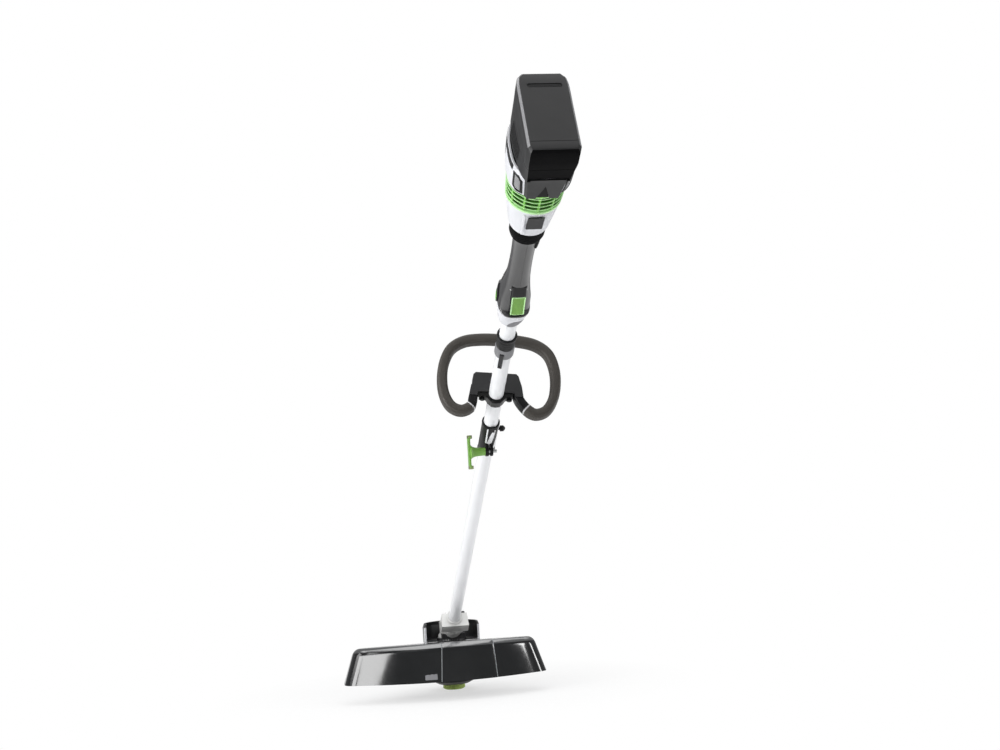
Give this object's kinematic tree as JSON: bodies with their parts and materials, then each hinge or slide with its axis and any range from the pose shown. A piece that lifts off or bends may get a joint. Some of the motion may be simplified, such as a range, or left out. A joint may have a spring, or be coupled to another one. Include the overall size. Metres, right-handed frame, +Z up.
{
  "type": "cordless string trimmer",
  "caption": "Cordless string trimmer with a rear grip, loop handle, clamp coupler, shielded bump-feed spool head and a slide-on battery pack.",
  "frame": {"origin": "centre of the bump knob's flat foot, on the spool axis", "axes": "+Z up along the spool axis; +Y forward, from the battery towards the cutting head; +X to the user's right. The shaft leans back 28.5 degrees above the horizontal towards -Y"},
  "size_m": [0.44, 1.5804, 0.9886],
  "materials": {
    "painted_tube": "satin",
    "light_plastic": "satin",
    "dark_plastic": "satin",
    "black_plastic": "gloss",
    "soft_grip": "matt",
    "green_plastic": "satin",
    "knob_plastic": "satin",
    "lime_plastic": "matt",
    "cast_aluminium": "as cast",
    "steel": "ground",
    "copper": "lacquered",
    "nylon": "satin",
    "line": "satin",
    "cell_wrap": "film"
  },
  "bodies": {
    "powerhead": {"upper_tube": "painted_tube", "upper_liner": "nylon", "housing_left": "light_plastic", "housing_right": "light_plastic", "underside_cover": "dark_plastic", "service_cover": "dark_plastic", "vent_ring": "green_plastic", "vent_left": "black_plastic", "vent_right": "black_plastic", "nose_cone": "light_plastic", "grip_collar": "black_plastic", "handle_left": "dark_plastic", "handle_right": "dark_plastic", "trigger_switch": "black_plastic", "controller_board": "green_plastic", "dock_plate": "black_plastic", "motor_stator": "copper", "front_motor_bearing": "steel", "rear_motor_bearing": "steel", "strap_ring": "dark_plastic", "coupler_body": "black_plastic"},
    "battery_pack": {"battery_case": "dark_plastic", "battery_cover": "dark_plastic", "cell_pack": "cell_wrap"},
    "latch": {"pack_latch": "green_plastic"},
    "trigger": {"trigger": "green_plastic"},
    "lock_off": {"lock_off_lever": "green_plastic"},
    "motor": {"motor_rotor": "steel", "cooling_fan": "black_plastic", "upper_drive_shaft": "steel"},
    "loop_handle": {"loop_frame": "dark_plastic", "loop_grip": "soft_grip", "loop_clamp": "dark_plastic", "loop_bolt_left": "steel", "loop_bolt_right": "steel"},
    "wing_knob": {"clamp_knob": "knob_plastic"},
    "coupler_button": {"release_button": "black_plastic"},
    "attachment": {"lower_tube": "painted_tube", "lower_liner": "nylon", "gear_case": "cast_aluminium", "clamp_bolt": "steel", "guard_bracket": "black_plastic", "output_bearing": "steel", "pinion_bearing": "steel", "guard": "black_plastic", "guard_screw_left": "steel", "guard_screw_right": "steel", "line_cutter": "steel"},
    "lower_drive": {"lower_drive_shaft": "steel", "bevel_pinion": "steel"},
    "spool_head": {"output_gear": "steel", "spool_housing": "black_plastic", "spool_cover": "black_plastic", "eyelet_left": "steel", "eyelet_right": "steel", "cutting_line": "line", "knob_spring": "steel"},
    "bump_spool": {"bump_knob": "lime_plastic", "line_spool": "dark_plastic", "line_winding": "line"}
  },
  "joints": [
    {"name": "pack_slide", "type": "slide", "parent": "powerhead", "child": "battery_pack", "axis": [0, 0.4772, 0.8788], "range_m": [0, 0.145]},
    {"name": "latch_press", "type": "slide", "parent": "powerhead", "child": "latch", "axis": [0, 0.8788, -0.4772], "range_m": [0, 0.004], "stiffness_N_per_m": 500},
    {"name": "trigger_pull", "type": "hinge", "parent": "powerhead", "child": "trigger", "pos_m": [0, -1.16839, 0.73547], "axis": [1, 0, 0], "range_deg": [0, 10], "stiffness_Nm_per_rad": 1.5},
    {"name": "lock_off_press", "type": "hinge", "parent": "powerhead", "child": "lock_off", "pos_m": [0, -1.09578, 0.73508], "axis": [1, 0, 0], "range_deg": [0, 6], "stiffness_Nm_per_rad": 1.5},
    {"name": "motor_spin", "type": "hinge", "parent": "powerhead", "child": "motor", "pos_m": [0, -1.35338, 0.85582], "axis": [0, -0.8788, 0.4772], "continuous": true},
    {"name": "loop_slide", "type": "slide", "parent": "powerhead", "child": "loop_handle", "axis": [0, -0.8788, 0.4772], "range_m": [-0.03, 0.08]},
    {"name": "wing_knob_turn", "type": "hinge", "parent": "powerhead", "child": "wing_knob", "pos_m": [-0.02, -0.75869, 0.50505], "axis": [-1, 0, 0], "range_deg": [0, 540]},
    {"name": "coupler_release", "type": "slide", "parent": "powerhead", "child": "coupler_button", "axis": [-1, 0, 0], "range_m": [0, 0.003], "stiffness_N_per_m": 500},
    {"name": "attachment_slide", "type": "slide", "parent": "powerhead", "child": "attachment", "axis": [0, 0.8788, -0.4772], "range_m": [0, 0.075]},
    {"name": "lower_shaft_spin", "type": "hinge", "parent": "attachment", "child": "lower_drive", "pos_m": [0, -0.03515, 0.14009], "axis": [0, -0.8788, 0.4772], "continuous": true},
    {"name": "spool_spin", "type": "hinge", "parent": "attachment", "child": "spool_head", "pos_m": [0, 0, 0.1], "axis": [0, 0, 1], "continuous": true},
    {"name": "knob_bump", "type": "slide", "parent": "spool_head", "child": "bump_spool", "axis": [0, 0, 1], "range_m": [0, 0.008], "stiffness_N_per_m": 1500, "deforming": ["knob_spring"]}
  ],
  "couplings": [
    {"joint": "motor_spin", "follows": "spool_spin", "ratio": -1.4167},
    {"joint": "lower_shaft_spin", "follows": "spool_spin", "ratio": -1.4167}
  ]
}
